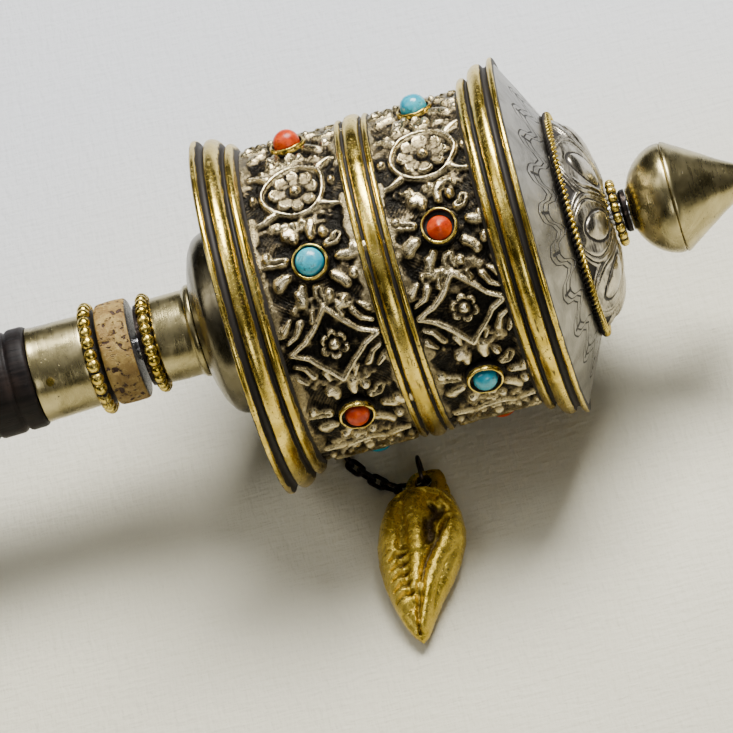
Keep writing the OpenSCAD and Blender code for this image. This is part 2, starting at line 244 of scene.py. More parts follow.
def sheet_mesh(name, points, paint, round_rows=True, **marks):
    """A smooth piece through rows of points that close along each row. round_rows also
    closes the last row on the first. Each mark is a number kept at every point."""
    rows, sides = points.shape[:2]
    index = np.arange(rows * sides).reshape(rows, sides)
    across = np.roll(index, -1, axis=1)
    last = rows if round_rows else rows - 1
    after = np.roll(index, -1, axis=0)[:last]
    across_after = np.roll(across, -1, axis=0)[:last]
    quads = np.stack((index[:last], across[:last], across_after, after), axis=-1)
    mesh = bpy.data.meshes.new(name)
    mesh.from_pydata(points.reshape(-1, 3).tolist(), [], quads.reshape(-1, 4).tolist())
    for key, values in marks.items():
        values = np.broadcast_to(values, (rows, sides)).astype(np.float32)
        mesh.attributes.new(key, "FLOAT", "POINT").data.foreach_set("value", values.ravel())
    made = bpy.data.objects.new(name, mesh)
    bpy.context.scene.collection.objects.link(made)
    tidy = bmesh.new()
    tidy.from_mesh(mesh)
    bmesh.ops.remove_doubles(tidy, verts=tidy.verts, dist=1e-7)
    if not round_rows:
        bmesh.ops.holes_fill(tidy, edges=tidy.edges, sides=0)
    bmesh.ops.recalc_face_normals(tidy, faces=tidy.faces)
    tidy.to_mesh(mesh)
    tidy.free()
    mesh.shade_smooth()
    mesh.materials.append(paint)
    return made


def outline_rows(outline, step, rounds=1):
    """Cuts the corners of a closed outline of (x, radius) in mm, then spaces points on it
    no further apart than step. Returns the two columns in metres."""
    points = np.array(outline, float)
    for _ in range(rounds):
        after = np.roll(points, -1, axis=0)
        length = np.linalg.norm(after - points, axis=1, keepdims=True)
        cut = np.minimum(0.25, 0.3 / np.maximum(length, 1e-6))
        points = np.stack((points + (after - points) * cut,
                           after - (after - points) * cut), axis=1).reshape(-1, 2)
    spaced = []
    for a, b in zip(points, np.roll(points, -1, axis=0)):
        parts = max(1, math.ceil(np.linalg.norm(b - a) / step))
        spaced += [a + (b - a) * k / parts for k in range(parts)]
    spaced = np.array(spaced) * mm
    return spaced[:, :1], spaced[:, 1:]


def turned(name, outline, paint, sides=192, step=0.5, rounds=1, shape=None):
    """Turns a closed outline round the spin axis. shape(x, angle, radius) may return
    changed radii and a dictionary of marks."""
    x, radius = outline_rows(outline, step, rounds)
    angle = np.linspace(0, tau, sides, endpoint=False)[None, :]
    marks = {}
    if shape:
        radius, marks = shape(x, angle, radius)
    return sheet_mesh(name, spun(x, angle, np.maximum(radius, 0)), paint, **marks)


def span(node):
    """The two ends of a CAD node on the spin axis, in mm."""
    low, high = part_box(node)
    return low[0] / mm, high[0] / mm


ferrule_x, ferrule_end = span("ferrule")
grip_end = span("handle_grip")[1]
grip_outline = [(0.8, 0), (0.8, 8.25), (15, 8.25), (15.2, 9.3), (17, 9.7), (19.2, 9.5),
                (20.6, 8.5), (21.3, 8.5), (21.9, 9.3), (27, 9.5), (40, 9.1), (58, 8.5),
                (70, 8.3), (84, 8.6), (97, 9.2), (ferrule_x - 10, 9.45),
                (ferrule_x - 9.4, 8.9), (ferrule_x - 8.8, 9.45), (ferrule_x - 4.6, 9.4),
                (ferrule_x - 4, 8.7), (ferrule_x - 3.4, 9.4), (ferrule_x - 0.7, 9.35),
                (ferrule_x - 0.1, 8.9), (ferrule_x - 0.1, 7.7), (grip_end, 7.7),
                (grip_end, 2.25), (grip_end - 29, 2.25), (grip_end - 29, 0)]


def grip_shape(x, angle, radius):
    spots = spun(x, angle, radius)
    worn = grain(spots * (0.15, 1, 1), 0.7 * mm, 3) + grain(spots, 5 * mm, 4)
    return radius + 0.02 * mm * worn * (radius > 8 * mm), {}


def wood_paint(w):
    fibre = w.noise(0.0009, detail=5, stretch=(0.06, 1, 1), warp=0.4)
    pores = w.noise(0.0004, detail=2, stretch=(0.12, 1, 1)).step(0.62, 0.72)
    cloud = w.noise(0.009, detail=3)
    brown = fibre.step(0.35, 0.7).mix((0.004, 0.003, 0.003, 1), (0.013, 0.009, 0.008, 1))
    rubbed = cloud.step(0.5, 0.75).mix(brown, (0.022, 0.014, 0.011, 1))
    return {"Base Color": pores.mix(rubbed, (0.004, 0.003, 0.003, 1)),
            "Roughness": fibre * 0.25 + cloud * 0.2 + 0.3,
            "Normal": w.bump(fibre - pores * 0.6, 0.00012, 0.6)}


wood = material("dark_wood", wood_paint, Specular_IOR_Level=0.16)
grip = turned("grip", grip_outline, wood, sides=160, step=0.8, shape=grip_shape)
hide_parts("handle_grip")
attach(grip, "handle")


# ---- Brass and white metal fittings of the handle --------------------------------------
# A cap closes the butt and a tapered tube, the ferrule, grips the tenon at the other end.
# Both are thin sheet, soldered, held by a beaded ring or by two small brass pins.
def yellow_brass(name, hollow=True, painted_light_scale=1.0):
    """Brass handled until its high places shine, with black left in the low ones."""
    def paint(w):
        stain = w.noise(0.0045, detail=4, warp=0.5)
        speck = w.noise(0.00055, detail=3, rough=0.7)
        # A scale over 1 makes a lighter copy of the brass: painted light on the part that uses it.
        gold = stain.step(0.35, 0.66).mix((0.52 * painted_light_scale, 0.37 * painted_light_scale, 0.05, 1),
                                          (0.88 * painted_light_scale, 0.67 * painted_light_scale, 0.155, 1))
        streak = w.noise(0.0007, detail=4, stretch=(1, 0.12, 0.12), rough=0.65)
        dirt = speck.step(0.57, 0.66) * stain.step(0.40, 0.58)
        dirt = dirt.math("MAXIMUM", streak.step(0.61, 0.68) * 0.8)
        if hollow:
            edge = w.mark("hollow") + (speck - 0.5) * 0.9 + (streak - 0.5) * 0.7 \
                + (stain - 0.5) * 0.35
            dirt = dirt.math("MAXIMUM", edge.step(0.22, 0.52))
        pink = (w.noise(0.0012, detail=2).step(0.63, 0.7)) * 0.4
        warm = pink.mix(gold, (0.66, 0.36, 0.16, 1))
        return {"Base Color": dirt.mix(warm, (0.018, 0.014, 0.010, 1)),
                "Metallic": 1 - dirt * 0.75,
                "Roughness": stain * 0.22 + dirt * 0.4 + 0.13,
                "Normal": w.bump(speck + stain * 1.5 - dirt * 0.5, 0.00006, 0.55)}
    return material(name, paint)


def white_metal(name, hollow=False, warm=0.0, painted_light_scale=1.0):
    """White metal gone slightly yellow: fine scratches, black specks, dark low places."""
    def paint(w):
        cloud = w.noise(0.006, detail=4, warp=0.6)
        scratch = w.noise(0.0006, detail=4, stretch=(1, 0.12, 0.12), rough=0.7)
        pit = w.noise(0.00045, detail=1).step(0.73, 0.78)
        # A scale under 1 makes a darker copy of the white metal, which is painted shade; a scale
        # over 1 makes a lighter copy, which is painted light.
        low = (0.26 * painted_light_scale, (0.235 - 0.015 * warm) * painted_light_scale, (0.18 - 0.08 * warm) * painted_light_scale, 1)
        top = (0.52 * painted_light_scale, (0.475 - 0.03 * warm) * painted_light_scale, (0.38 - 0.15 * warm) * painted_light_scale, 1)
        pale = cloud.step(0.3, 0.7).mix(low, top)
        dirt = pit
        if hollow:
            edge = w.mark("hollow") + (scratch - 0.5) * 0.6 + (cloud - 0.5) * 0.3
            dirt = pit.math("MAXIMUM", edge.step(0.38, 0.62))
        return {"Base Color": dirt.mix(pale, (0.022, 0.018, 0.014, 1)),
                "Metallic": 1 - dirt * 0.7,
                "Roughness": cloud * 0.18 + scratch * 0.16 + dirt * 0.3 + 0.11,
                "Normal": w.bump(cloud * 2 + scratch - dirt, 0.00006, 0.5)}
    return material(name, paint)


brass = yellow_brass("brass")
plain_brass = yellow_brass("brass_plain", hollow=False)
silvered = white_metal("white_metal", warm=1.0)
# The lotus gets a copy of the white metal 1.15 times as bright: painted light. Its dark low places
# are real blackening.
aged_silver = white_metal("white_metal_chased", hollow=True, painted_light_scale=1.15)

cap_outline = [(0, 0), (0, 8.3), (0.25, 8.8), (0.7, 9), (3.4, 9), (3.8, 8.75), (4.2, 9),
               (9.4, 9), (9.8, 8.75), (10.2, 9), (12.5, 9), (12.5, 8.3), (0.75, 8.3), (0.75, 0)]
cap = turned("butt_cap", cap_outline, plain_brass, sides=128, step=0.5)
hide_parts("butt_cap")
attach(cap, "handle")

ferrule_outline = [(ferrule_x, 7.8), (ferrule_x, 8.75), (ferrule_x + 0.3, 8.8),
                   (ferrule_x + 1.1, 8.68), (ferrule_end - 0.2, 8.42), (ferrule_end, 8.3),
                   (ferrule_end, 2.25), (ferrule_end - 0.6, 2.25), (ferrule_end - 0.6, 7.8)]


def hand_worked(x, angle, radius):
    """Shallow dents and flats, as on thin sheet that was bent and soldered by hand."""
    spots = spun(x, angle, radius)
    dents = grain(spots, 4 * mm, 11) * 0.05 + grain(spots, 1.3 * mm, 12) * 0.012
    return radius + dents * mm * (radius > 3 * mm), {}


ferrule = turned("ferrule", ferrule_outline, silvered, sides=160, step=0.5, shape=hand_worked)
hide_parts("ferrule")
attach(ferrule, "handle")
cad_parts["ferrule_pins"].data.materials.clear()
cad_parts["ferrule_pins"].data.materials.append(plain_brass)


# ---- Beaded rings ----------------------------------------------------------------------
# Four rings of beaded wire: at the butt, at the ferrule, on the neck of the drum and on top
# of the lotus. Each is a row of soldered beads on a flat seat, a little uneven.
def beaded(name, node, body, count, bead, inner, seed):
    """Stands for a CAD bead ring: beads of that diameter, in mm, inside the node's box."""
    low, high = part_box(node)
    middle, reach = (low[0] + high[0]) / 2, high[2]
    width = (high[0] - low[0]) / 2
    size = bead * mm / 2
    centre = reach - size
    luck = np.random.default_rng(seed)
    ball = bmesh.new()
    bmesh.ops.create_icosphere(ball, subdivisions=3, radius=1)
    unit = np.array([v.co for v in ball.verts])
    faces = np.array([[v.index for v in f.verts] for f in ball.faces])
    ball.free()
    points, polygons, hollow = [], [], []
    for k in range(count):
        angle = k * tau / count + luck.normal(0, 0.012)
        scale = size * np.array([0.97, 1.04, 0.98]) * (1 + luck.normal(0, 0.022, 3))
        spots = unit * scale
        radial = (centre + spots[:, 2]).reshape(-1)
        turn = angle + spots[:, 1] / centre
        points.append(np.stack((middle + spots[:, 0], -radial * np.cos(turn),
                                radial * np.sin(turn)), axis=-1))
        polygons.append(faces + len(unit) * len(polygons))
        hollow.append(np.clip(np.abs(unit[:, 1]) * 1.5 - 0.62 - unit[:, 2] * 0.35, 0, 1))
    mesh = bpy.data.meshes.new(name)
    mesh.from_pydata(np.concatenate(points).tolist(), [],
                     np.concatenate(polygons).tolist())
    values = np.concatenate(hollow).astype(np.float32)
    mesh.attributes.new("hollow", "FLOAT", "POINT").data.foreach_set("value", values)
    mesh.shade_smooth()
    mesh.materials.append(brass)
    beads = bpy.data.objects.new(name, mesh)
    bpy.context.scene.collection.objects.link(beads)
    near, far = (middle - 0.8 * width) / mm, (middle + 0.8 * width) / mm
    top = (centre + size * 0.1) / mm
    seat = turned(name + "_seat", [(near, inner), (near, top), (far, top), (far, inner)],
                  brass, sides=96, step=0.6,
                  shape=lambda x, angle, radius: (radius, {"hollow": 0.8}))
    for piece in (beads, seat):
        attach(piece, body)
        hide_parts(node)


beaded("butt_beads", "butt_bead_ring", "handle", 28, 2.2, 8.35, 21)
beaded("ferrule_beads", "ferrule_bead_ring", "handle", 26, 2.5, 2.3, 22)
beaded("neck_beads", "neck_bead_ring", "drum", 26, 2.3, 7.35, 23)
beaded("lotus_beads", "top_bead_ring", "drum", 18, 1.8, 4.1, 24)


# ---- Spindle ---------------------------------------------------------------------------
# One bright steel rod, driven into the wood, runs through the drum to the knob. Where it
# shows, beside the washer, it is polished by use and streaked along its length.
def steel_paint(w):
    ring = w.noise(0.0004, detail=3, stretch=(1, 0.1, 0.1))
    rust = w.noise(0.0022, detail=4).step(0.58, 0.72)
    return {"Base Color": rust.mix((0.56, 0.56, 0.57, 1), (0.22, 0.16, 0.12, 1)),
            "Roughness": ring * 0.2 + rust * 0.25 + 0.12,
            "Normal": w.bump(ring, 0.00003, 0.4)}


steel = material("spindle_steel", steel_paint, Metallic=1.0)


def dark_iron_paint(w):
    scale = w.noise(0.0007, detail=4, rough=0.65)
    rubbed = scale.step(0.52, 0.66)
    return {"Base Color": rubbed.mix((0.012, 0.009, 0.008, 1), (0.085, 0.062, 0.05, 1)),
            "Roughness": 0.52 - rubbed * 0.2,
            "Normal": w.bump(scale, 0.00006, 0.6)}


dark_iron = material("dark_iron", dark_iron_paint, Metallic=0.9)


def refinish(paint, *nodes):
    """Gives CAD nodes whose shape is right their real material."""
    for node in nodes:
        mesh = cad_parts[node].data
        mesh.materials.clear()
        mesh.materials.append(paint)
        mesh.shade_smooth()
        mesh.set_sharp_from_angle(angle=math.radians(35))


refinish(steel, "spindle")
refinish(dark_iron, "neck_flange", "finial_collar", "chain_eyelet", "jump_ring",
         *(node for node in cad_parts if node.startswith("chain_link")))
refinish(plain_brass, "ferrule_pins", "finial_nut", "lower_bush", "upper_bush")


# ---- Shell washer ----------------------------------------------------------------------
# A thick washer sawn from shell spaces the drum from the handle. Its edge is porous and
# tan with brown pits; the face towards the drum is ground smooth, and its dark slate
# colour is painted shade of the narrow gap between washer and drum.
def shell_paint(w):
    cloud = w.noise(0.0035, detail=4, warp=0.8)
    grit = w.noise(0.0006, detail=4, rough=0.7)
    pits = (w.noise(0.0009, detail=3, warp=0.5) + w.mark("pit")).step(0.58, 0.68)
    tan = cloud.step(0.3, 0.7).mix((0.20, 0.112, 0.020, 1), (0.37, 0.25, 0.065, 1))
    tan = (grit.step(0.54, 0.68) * 0.6).mix(tan, (0.49, 0.37, 0.12, 1))
    tan = pits.mix(tan, (0.04, 0.013, 0.003, 1))
    face = w.mark("face").step(0.4, 0.6)
    # The ground face towards the drum is painted dark slate: painted shade of the gap between
    # washer and drum.
    painted_gap_shade = cloud.mix((0.026, 0.023, 0.022, 1), (0.06, 0.056, 0.053, 1))
    return {"Base Color": face.mix(tan, painted_gap_shade),
            "Roughness": face * -0.35 + grit * 0.2 + 0.55,
            "Normal": w.bump(grit - pits * 1.4, 0.0003, 0.8)}


near, far = span("shell_washer")
washer_outline = [(near, 2.26), (near, 8.3), (near + 0.15, 9.0), (near + 0.7, 9.35),
                  (near + 3, 9.42), (far - 0.7, 9.35), (far - 0.15, 9.05), (far, 8.4),
                  (far, 2.26)]
face_x = far - 0.12


def washer_shape(x, angle, radius):
    spots = spun(x, angle, radius)
    pit = np.clip(grain(spots, 1.1 * mm, 31) - 0.25, 0, 1)
    worn = grain(spots, 5 * mm, 32) * 0.1 - pit * 0.45
    edge = radius > 8.6 * mm
    return radius + worn * mm * edge, {"pit": pit * 0.4 * edge,
                                       "face": (x > face_x * mm) & (radius < 9 * mm)}


shell = material("shell", shell_paint)
washer = turned("washer", washer_outline, shell, sides=220, step=0.3, shape=washer_shape)
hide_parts("shell_washer")
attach(washer, "washer")


# ---- Neck and bottom of the drum -------------------------------------------------------
# A short tube and a domed boss, spun from white metal, are soldered to a shallow cone that
# closes the drum. They hold the lower brass bush.
near, far = span("neck_tube")
tube_outline = [(near, 6.6), (near, 7.3), (near + 2, 7.3), (near + 2.3, 7.85),
                (near + 4.4, 7.9), (far - 1.5, 7.9), (far - 1.1, 8.5), (far - 0.3, 8.6),
                (far, 8.4), (far, 6.6)]
near = span("base_boss")[0]
boss_outline = [(near, 7.8), (near + 0.1, 9), (near + 0.4, 11), (near + 1.4, 14),
                (near + 2.7, 16), (near + 4.1, 16.8), (near + 5.6, 17), (near + 6.5, 17.4),
                (near + 6.8, 17.4), (near + 6.8, 16.2), (near + 4.3, 15.9), (near + 2, 13.5),
                (near + 1.1, 10.8), (near + 0.7, 7.8)]
drum_x = span("bottom_rim")[0]
bottom_outline = [(drum_x - 0.6, 3.3), (drum_x - 0.6, 17.4), (drum_x - 0.1, 25),
                  (drum_x + 0.3, 32.2), (drum_x + 1.1, 32.2), (drum_x + 0.1, 17.4),
                  (drum_x + 0.1, 3.3)]
# Boss and bottom plate get a copy of the white metal at 0.42 of its brightness: painted shade on
# the drum's end inside the rim.
shaded_white_metal = white_metal("white_metal_painted_shade", warm=0.6, painted_light_scale=0.42)
for name, node, outline, sides, paint in (
        ("neck", "neck_tube", tube_outline, 160, silvered),
        ("boss", "base_boss", boss_outline, 200, shaded_white_metal),
        ("bottom", "bottom_plate", bottom_outline, 256, shaded_white_metal)):
    piece = turned(name, outline, paint, sides=sides, step=0.6, shape=hand_worked)
    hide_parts(node)
    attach(piece, "drum")


# ---- Brass mouldings of the drum -------------------------------------------------------
# Strips of drawn brass moulding, bent round the drum and soldered: one at each end, with
# three ridges, and a narrower one on the joint between the two embossed sheets.
def hoop(name, node, outline, grooves, paint, way=1, start=0.0, seed=1):
    """Turns (distance, radius) from an edge; grooves are (distance, half width)."""
    def shape(x, angle, radius):
        spots = spun(x, angle, radius)
        d = (x / mm - start) * way
        uneven = 1 + 0.35 * grain(spots * (0.2, 1, 1), 2.5 * mm, seed)
        hollow = sum(np.exp(-((d - g) / (w * uneven)) ** 2) for g, w in grooves)
        dent = grain(spots, 6 * mm, seed + 1) * 0.07 + grain(spots, 1.5 * mm, seed + 2) * 0.025
        outside = radius > 28.62 * mm
        return radius + dent * mm * outside, {"hollow": np.clip(hollow, 0, 1)}

    piece = turned(name, [(start + way * d, r) for d, r in outline], paint, sides=288,
                   step=0.28, shape=shape)
    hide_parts(node)
    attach(piece, "drum")


rim_profile = [(0, 31.5), (0, 32.4), (0.15, 32.85), (0.45, 33), (0.9, 32.95), (1.2, 32.5),
               (1.4, 31.8), (1.9, 31.5), (2.3, 31.6), (2.55, 32.2), (3.0, 32.5), (3.7, 32.5),
               (4.5, 32.1), (5.1, 31.4), (5.35, 30.1), (5.8, 29.9), (6.0, 30.55),
               (6.5, 30.85), (7.1, 30.65), (7.5, 30.1), (7.7, 29.0), (8.2, 28.75),
               (8.2, 28.5), (7.0, 28.5), (5.2, 29.2), (2.0, 30.8)]
rim_grooves = [(-0.1, 0.3), (1.45, 0.3), (1.9, 0.5), (2.3, 0.25), (5.58, 0.5), (8.05, 0.5)]
drum_end = span("top_rim")[1]
hoop("rim_bottom", "bottom_rim", rim_profile, rim_grooves, brass, 1, drum_x, 41)
# The top rim gets a slightly lighter copy of the brass: painted light.
hoop("rim_top", "top_rim", rim_profile, rim_grooves, yellow_brass("brass_painted_light", painted_light_scale=1.06),
     -1, drum_end, 44)
band_half = [(0, 30.0), (0.9, 29.85), (1.35, 29.4), (1.6, 28.85), (1.85, 28.85), (2.1, 29.4),
             (2.5, 29.6), (2.9, 29.4), (3.15, 28.9)]
band_mid = band_x / mm
hoop("band", "middle_band", [(-d, r) for d, r in band_half[:0:-1]] + band_half
     + [(3.1, 28.5), (-3.1, 28.5)],
     [(-3.3, 0.35), (-1.72, 0.34), (1.72, 0.34), (3.3, 0.35)], brass, 1, band_mid, 47)


# ---- Embossed wall ---------------------------------------------------------------------
# Two strips of thin white metal, pressed from behind on a die. Stones sit in rings of short
# rays, and between them lie rosettes and four-pointed stars by turns. The wall was
# blackened and its high places polished bare.
stone_rows = [drum_x + 17.3, drum_x + 40.8]
first_stone, stone_step = math.radians(62), math.radians(60)
wall_r = 28.5
low_r, emboss, back_r = 27.95, 1.35, 27.8
under_rim = 7.4


def ridge(u, v, line, width, tip=None):
    """Height 0 to 1 of a rounded ridge along a line of (u, v) points, in mm."""
    line = np.array(line, float)
    widths = np.linspace(width, tip if tip is not None else width, len(line))
    height = np.zeros(u.shape)
    for (a, b), wa, wb in zip(zip(line, line[1:]), widths, widths[1:]):
        run = b - a
        t = np.clip(((u - a[0]) * run[0] + (v - a[1]) * run[1]) / (run @ run), 0, 1)
        gap = np.hypot(u - a[0] - t * run[0], v - a[1] - t * run[1])
        across = gap / (wa + (wb - wa) * t) / 1.08
        height = np.maximum(height, np.sqrt(np.clip(1 - across ** 2, 0, 1)))
    return height


def rays(u, v):
    """Short lumps round a stone, each pointing at it, some of them split like a leaf."""
    luck = np.random.default_rng(5)
    height = np.zeros(u.shape)
    for k in range(9):
        a = k * tau / 9 + 0.28 + luck.normal(0, 0.10)
        near, far = 4.6 + luck.uniform(0, 0.5), 6.9 + luck.uniform(-0.5, 1.6)
        way = np.array((math.cos(a), math.sin(a)))
        bend = way[::-1] * (-0.5, 0.5) * luck.uniform(-1.5, 1.5)
        line = [way * near, way * (near + far) / 2 + bend * 0.6, way * far]
        lump = ridge(u, v, line, luck.uniform(0.75, 1.0), luck.uniform(0.9, 1.5))
        if k % 3 == 1:
            lump = lump - 0.8 * ridge(u, v, [p * 1.04 for p in line], 0.26, 0.4)
        height = np.maximum(height, lump)
    knobs = [(5.7, -3.4), (5.2, 3.2), (-5.5, -3.4), (-6.6, 1.8), (0.4, 7.6), (-3.6, 7.0),
             (2.6, -7.4)]
    for spot in knobs:
        height = np.maximum(height, 1.15 * ridge(u, v, [spot, (spot[0] + 0.4, spot[1])], 0.85))
    return height


def flower(u, v, petals, reach):
    """A round flower: a knob, and petals with a raised edge and a hollow middle."""
    r, way = np.hypot(u, v), np.arctan2(v, u)
    side = abs((way * petals / tau + 0.5) % 1 - 0.5) * 2
    edge = reach * (1 - 0.3 * side ** 2)
    apart = np.clip((1 - side) * 3.5, 0, 1)
    body = 0.5 * np.clip((edge - r) / 0.5, 0, 1) * np.clip((r - 1.4) / 0.5, 0, 1) * apart
    lip = np.exp(-((r - edge + 0.3) / 0.42) ** 2) * apart
    knob = 1.15 * np.sqrt(np.clip(1 - (r / 1.15) ** 2, 0, 1))
    return np.max([body, lip, knob], axis=0)


def rosette(u, v):
    """A flower of eight petals in a ring, with a leaf at each corner and four knobs."""
    ring = np.sqrt(np.clip(1 - ((np.hypot(u, v) - 5.5) / 0.55) ** 2, 0, 1))
    u, v = abs(u), abs(v)
    return np.max([flower(u, v, 8, 4.4), ring,
                   ridge(u, v, [(4.4, 4.7), (5.3, 6.2), (5.6, 7.8)], 0.95, 0.3),
                   ridge(u, v, [(0, 7.2), (0.2, 7.2)], 0.75),
                   ridge(u, v, [(7.0, 0), (7.2, 0)], 0.75)], axis=0)


def star(u, v):
    """A star with four hollow sides round a flower of six petals, and four paired leaves."""
    inside = flower(u, v, 6, 2.6)
    u, v = abs(u), abs(v)
    return np.max([inside,
                   ridge(u, v, [(0, 8.0), (1.5, 4.9), (3.3, 3.1), (6.9, 0)], 0.55, 0.6),
                   ridge(u, v, [(2.3, 7.8), (3.2, 5.9), (5.0, 5.0)], 0.35, 0.8),
                   ridge(u, v, [(4.7, 7.8), (6.0, 6.6)], 0.85, 0.4),
                   ridge(u, v, [(4.9, 2.9), (6.4, 2.4)], 0.6, 0.35)], axis=0)


def relief(x, angle):
    """Height of the embossing, from 0 on the black ground to about 1, and the distance from
    the nearest stone. u and v run round and along from that stone, m from the
    nearest figure."""
    x, angle = np.broadcast_arrays(x / mm, angle)
    spots = spun(x * mm, angle, wall_r * mm)
    upper = x > band_mid
    v = x - np.where(upper, stone_rows[1], stone_rows[0]) + 0.5 * grain(spots, 4 * mm, 51)
    turn = (angle - first_stone) / stone_step
    u = (turn - np.round(turn)) * stone_step * wall_r + 0.5 * grain(spots, 4 * mm, 52)
    turn = turn - 0.5
    m = (turn - np.round(turn)) * stone_step * wall_r + 0.3 * grain(spots, 5 * mm, 53)
    first_kind = np.round(turn) % 2 == 0
    coarse = grain(spots, 0.9 * mm, 54)
    wide = grain(spots, 2.2 * mm, 58)
    figures = np.where(first_kind, rosette(m, v), star(m, v))
    leaf = ridge(np.abs(m), v, [(6.9, -5.2), (7.6, -2), (7.7, 1.5), (6.9, 4.6)], 1.2, 1.5)
    grit = grain(spots, 0.55 * mm, 59)
    leaf = leaf * (0.50 + 0.40 * grit + 0.35 * coarse + 0.25 * wide)
    border = np.clip((np.abs(v) - 7.4 - 1.1 * wide - 0.4 * coarse) / 0.9, 0, 1) * 0.6
    parts = np.max([figures, rays(u, v), leaf, border * (abs(m) > 3.5)], axis=0)
    rough = coarse * 0.09 + wide * 0.08 + grit * 0.07
    ground = np.clip(grain(spots, 1.6 * mm, 57) - 0.15, 0, 1) * 0.5
    parts = np.maximum(parts, ground)
    height = np.clip(parts, 0, 1.2) + rough * (1.4 - np.clip(parts, 0, 1))
    return height, np.hypot(u, v)


def wall_paint(w):
    """Black sulphide in the low places, rubbed silver and warm nickel on the high ones, and
    a painted highlight on the highest crests.
    """
    fine = w.noise(0.00045, detail=4, rough=0.7)
    cloud = w.noise(0.004, detail=4, warp=0.5)
    lump = w.noise(0.0011, detail=3, rough=0.6)
    line = (w.mark("ring") * 11.0 + cloud * 9.0).math("SINE")
    high = w.mark("relief") + (fine - 0.5) * 0.6 + (cloud - 0.5) * 0.4 + (lump - 0.5) * 0.45
    bare = high.step(0.28, 0.80)
    chased = line * (1 - bare) * cloud.step(0.42, 0.60)
    ground = (high + chased * 0.10 + (cloud - 0.5) * 0.8).step(0.0, 0.62).mix(
        (0.006, 0.005, 0.003, 1), (0.13, 0.10, 0.052, 1))
    cream = cloud.step(0.35, 0.65).mix((0.34, 0.27, 0.13, 1), (0.58, 0.485, 0.27, 1))
    # The highest crests are painted near white: a painted highlight on top of the real rubbed
    # polish.
    cream = high.step(0.75, 1.15).mix(cream, (0.88, 0.77, 0.50, 1))
    tarnish = fine.step(0.54, 0.65) * (1 - high.step(0.7, 1.05)) * 0.85
    cream = tarnish.mix(cream, (0.06, 0.044, 0.024, 1))
    return {"Base Color": bare.mix(ground, cream),
            "Metallic": bare * 0.12 + 0.86,
            "Roughness": fine * 0.22 - bare * 0.08 + cloud * 0.12 + 0.16,
            "Normal": w.bump((fine * 0.6 + lump * 1.5) * (1 - bare * 0.62) + chased * 0.10,
                             0.0003, 1.0)}


near, far = span("drum_wall")
fine_rows = np.arange(drum_x + under_rim, drum_end - under_rim, 0.27)
fine_rows = fine_rows[abs(fine_rows - band_mid) > 2.9]
wall_x = np.concatenate(([near], fine_rows, [far])) * mm
sides = 640
wall_angle = np.linspace(0, tau, sides, endpoint=False)[None, :]
raised, from_stone = relief(wall_x[:, None], wall_angle)
open_part = np.clip((wall_x[:, None] / mm - drum_x - under_rim) / 0.8, 0, 1) * np.clip(
    (drum_end - under_rim - wall_x[:, None] / mm) / 0.8, 0, 1)
outside = spun(wall_x[:, None], wall_angle, (low_r + emboss * raised * open_part) * mm)
inside_x = np.linspace(far, near, 6)[:, None] * mm
inside = spun(inside_x, wall_angle, back_r * mm)
wall = sheet_mesh("embossed_wall", np.concatenate((outside, inside)),
                  material("embossed_silver", wall_paint),
                  relief=np.concatenate((raised, np.zeros((6, sides)))),
                  ring=np.concatenate((from_stone, np.zeros((6, sides)))))
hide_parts("drum_wall")
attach(wall, "drum")


# ---- Stones and bezels -----------------------------------------------------------------
# Turquoise and coral cabochons, cut by hand, sit in short brass cups soldered on the wall.
# Some are smaller than their cup and held in it with dark cement.
def turquoise_paint(w):
    cloud = w.noise(0.0022, detail=3)
    vein = abs(w.noise(0.0016, detail=3, warp=1.2) - 0.5).step(0.03, 0.0) * cloud.step(0.5, 0.62)
    spots = w.noise(0.0008, detail=3).step(0.66, 0.72)
    blue = cloud.step(0.35, 0.65).mix((0.008, 0.27, 0.40, 1), (0.04, 0.48, 0.60, 1))
    dark = vein.math("MAXIMUM", spots) * 0.85
    return {"Base Color": dark.mix(blue, (0.03, 0.05, 0.045, 1)),
            "Roughness": cloud * 0.12 + dark * 0.3 + 0.16,
            "Normal": w.bump(cloud - dark, 0.0001, 0.4)}


def coral_paint(w):
    cloud = w.noise(0.0016, detail=4)
    grain_of_coral = w.noise(0.0005, detail=2).step(0.6, 0.72)
    red = cloud.step(0.35, 0.68).mix((0.40, 0.024, 0.001, 1), (0.64, 0.066, 0.002, 1))
    return {"Base Color": grain_of_coral.mix(red, (0.24, 0.018, 0.003, 1)),
            "Roughness": cloud * 0.2 + grain_of_coral * 0.15 + 0.24,
            "Normal": w.bump(cloud + grain_of_coral * 0.3, 0.00008, 0.5)}


turquoise = material("turquoise", turquoise_paint, Coat_Weight=0.35)
coral = material("coral", coral_paint, Specular_IOR_Level=0.35)
cement = material("dark_cement", lambda w: {
    "Base Color": w.noise(0.0006).mix((0.006, 0.005, 0.005, 1), (0.03, 0.026, 0.022, 1)),
    "Normal": w.bump(w.noise(0.0004), 0.0002)}, Roughness=0.7)


def on_wall(x, angle, across, along, out):
    """Points beside a place on the wall: across it, along the axis, and out from the axis."""
    side = np.stack(np.broadcast_arrays(along + x, out * -math.cos(angle)
                                        + across * math.sin(angle), out * math.sin(angle)
                                        + across * math.cos(angle)), axis=-1)
    return side * mm


